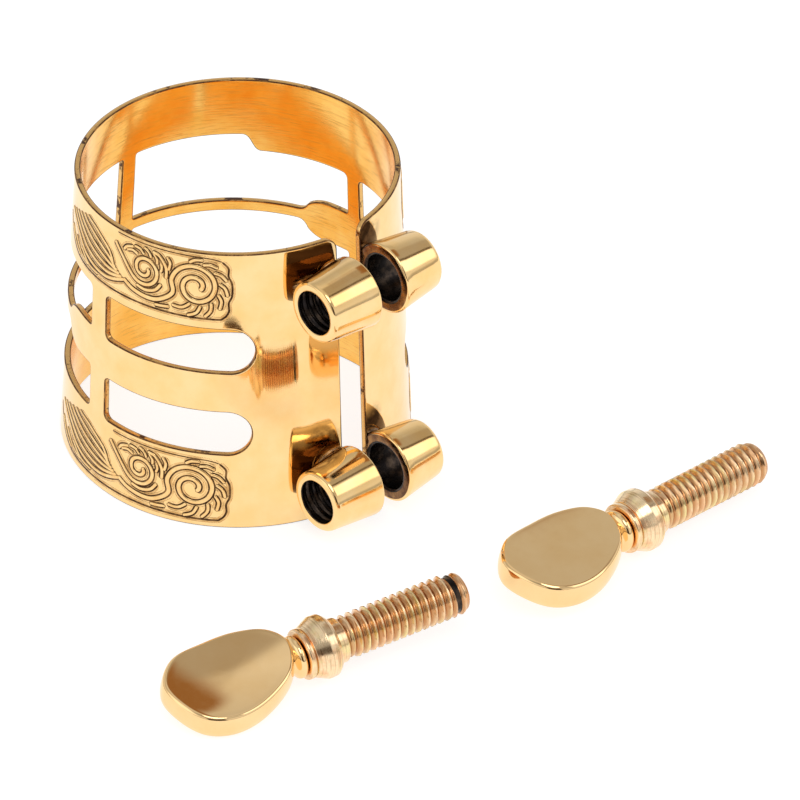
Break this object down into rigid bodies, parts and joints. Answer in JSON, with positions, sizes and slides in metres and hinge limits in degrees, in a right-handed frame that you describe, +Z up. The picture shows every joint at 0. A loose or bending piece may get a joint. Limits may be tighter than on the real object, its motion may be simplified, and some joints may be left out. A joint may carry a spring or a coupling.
{
  "type": "saxophone ligature",
  "caption": "Split, slotted metal band ligature with soldered screw posts and scroll-engraved panels, its two paddle thumbscrews taken out and lying beside it.",
  "frame": {"origin": "centre of the whole layout's footprint, on the surface that the band and the loose thumbscrews stand on", "axes": "+Z up along the band's own axis; -Y is the side of the band's split; +X runs along the post bores, from the threaded posts to the clearance posts"},
  "size_m": [0.0544, 0.0512, 0.0245],
  "materials": {
    "polished_gold": "polished gold lacquer over sheet brass",
    "turned_brass": "gold-plated, as turned, with fine tool lines",
    "solder": "dull grey-gold solder"
  },
  "bodies": {
    "left_half": {"band_left_half": "polished_gold", "threaded_post_lower": "polished_gold", "threaded_post_upper": "polished_gold", "threaded_solder_lower": "solder", "threaded_solder_upper": "solder"},
    "right_half": {"band_right_half": "polished_gold", "clearance_post_lower": "polished_gold", "clearance_post_upper": "polished_gold", "clearance_solder_lower": "solder", "clearance_solder_upper": "solder"},
    "front_screw": {"thumb_paddle_front": "polished_gold", "threaded_rod_front": "turned_brass"},
    "side_screw": {"thumb_paddle_side": "polished_gold", "threaded_rod_side": "turned_brass"}
  },
  "joints": [
    {"name": "band_flex", "type": "hinge", "parent": "left_half", "child": "right_half", "pos_m": [0.00395, 0.02418, 0.01225], "axis": [0, 0, 1], "range_deg": [-4.6, 1.5], "stiffness_Nm_per_rad": 0.3},
    {"name": "front_screw_lift", "type": "slide", "parent": "left_half", "child": "front_screw", "axis": [0, 0, 1], "range_m": [0, 0.03]},
    {"name": "side_screw_lift", "type": "slide", "parent": "left_half", "child": "side_screw", "axis": [0, 0, 1], "range_m": [0, 0.03]}
  ]
}
